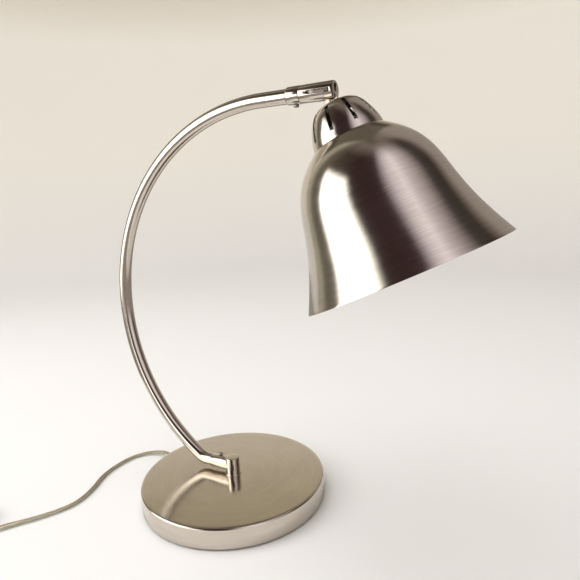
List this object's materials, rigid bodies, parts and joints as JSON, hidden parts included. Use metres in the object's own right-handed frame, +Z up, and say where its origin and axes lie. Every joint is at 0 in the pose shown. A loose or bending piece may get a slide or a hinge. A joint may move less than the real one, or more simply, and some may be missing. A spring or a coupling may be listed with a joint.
{
  "type": "desk lamp",
  "caption": "Desk lamp in brushed nickel: a bell shade with a vented cap on a swivel and tilt joint, at the end of an arc-shaped arm on a round weighted base.",
  "frame": {"origin": "centre of the round base's underside, on the surface that the lamp stands on", "axes": "+Z up; the arm stands in the XZ plane, bends out to -X and carries the shade on the +X side; the free mains lead isn't counted"},
  "size_m": [0.5697, 0.324, 0.3971],
  "materials": {
    "nickel": "satin brushed nickel plate",
    "screw_steel": "dark plated steel",
    "zinc": "zinc plated",
    "iron": "rough casting, painted",
    "felt": "dense felt",
    "holder_metal": "thin formed shell",
    "holder_insulator": "moulded phenolic",
    "key_plastic": "moulded",
    "brass": "plain",
    "bulb_glass": "frosted",
    "bulb_metal": "bright, rolled thread",
    "clear_vinyl": "clear vinyl over copper",
    "black_strap": "plastic covered wire"
  },
  "bodies": {
    "stand": {"base_shell": "nickel", "base_weight": "iron", "base_pad": "felt", "cord_bushing": "clear_vinyl", "base_nipple": "zinc", "base_washer": "zinc", "base_nut": "zinc", "foot_ring": "nickel", "post": "nickel", "lower_sleeve": "nickel", "lower_screw": "screw_steel", "arm_tube": "nickel", "inner_lead": "clear_vinyl", "head_sleeve": "nickel", "upper_screw": "screw_steel", "cord_lead": "clear_vinyl", "cord_coil": "clear_vinyl", "cord_tail": "clear_vinyl", "coil_tie": "black_strap", "plug_body": "clear_vinyl", "plug_blades": "brass"},
    "knuckle": {"swivel_knuckle": "nickel", "swivel_clip": "zinc", "tilt_pin": "zinc"},
    "shade": {"tilt_link": "nickel", "vent_cap": "nickel", "bell_shade": "nickel", "stub_washer": "zinc", "stub_nut": "zinc", "holder_cap": "holder_metal", "holder_shell": "holder_metal", "holder_body": "holder_insulator", "thread_shell": "holder_metal", "centre_contact": "brass", "bulb_cap": "bulb_metal", "bulb_glass": "bulb_glass"},
    "key": {"switch_key": "key_plastic"}
  },
  "joints": [
    {"name": "swivel", "type": "hinge", "parent": "stand", "child": "knuckle", "pos_m": [0.1025, 0, 0.3896], "axis": [1, 0, 0], "range_deg": [-150, 150]},
    {"name": "tilt", "type": "hinge", "parent": "knuckle", "child": "shade", "pos_m": [0.1273, 0, 0.3896], "axis": [0, -1, 0], "range_deg": [-37, 60]},
    {"name": "key_turn", "type": "hinge", "parent": "shade", "child": "key", "pos_m": [0.14724, 0, 0.34375], "axis": [-0.9171, 0, -0.3987], "continuous": true}
  ]
}
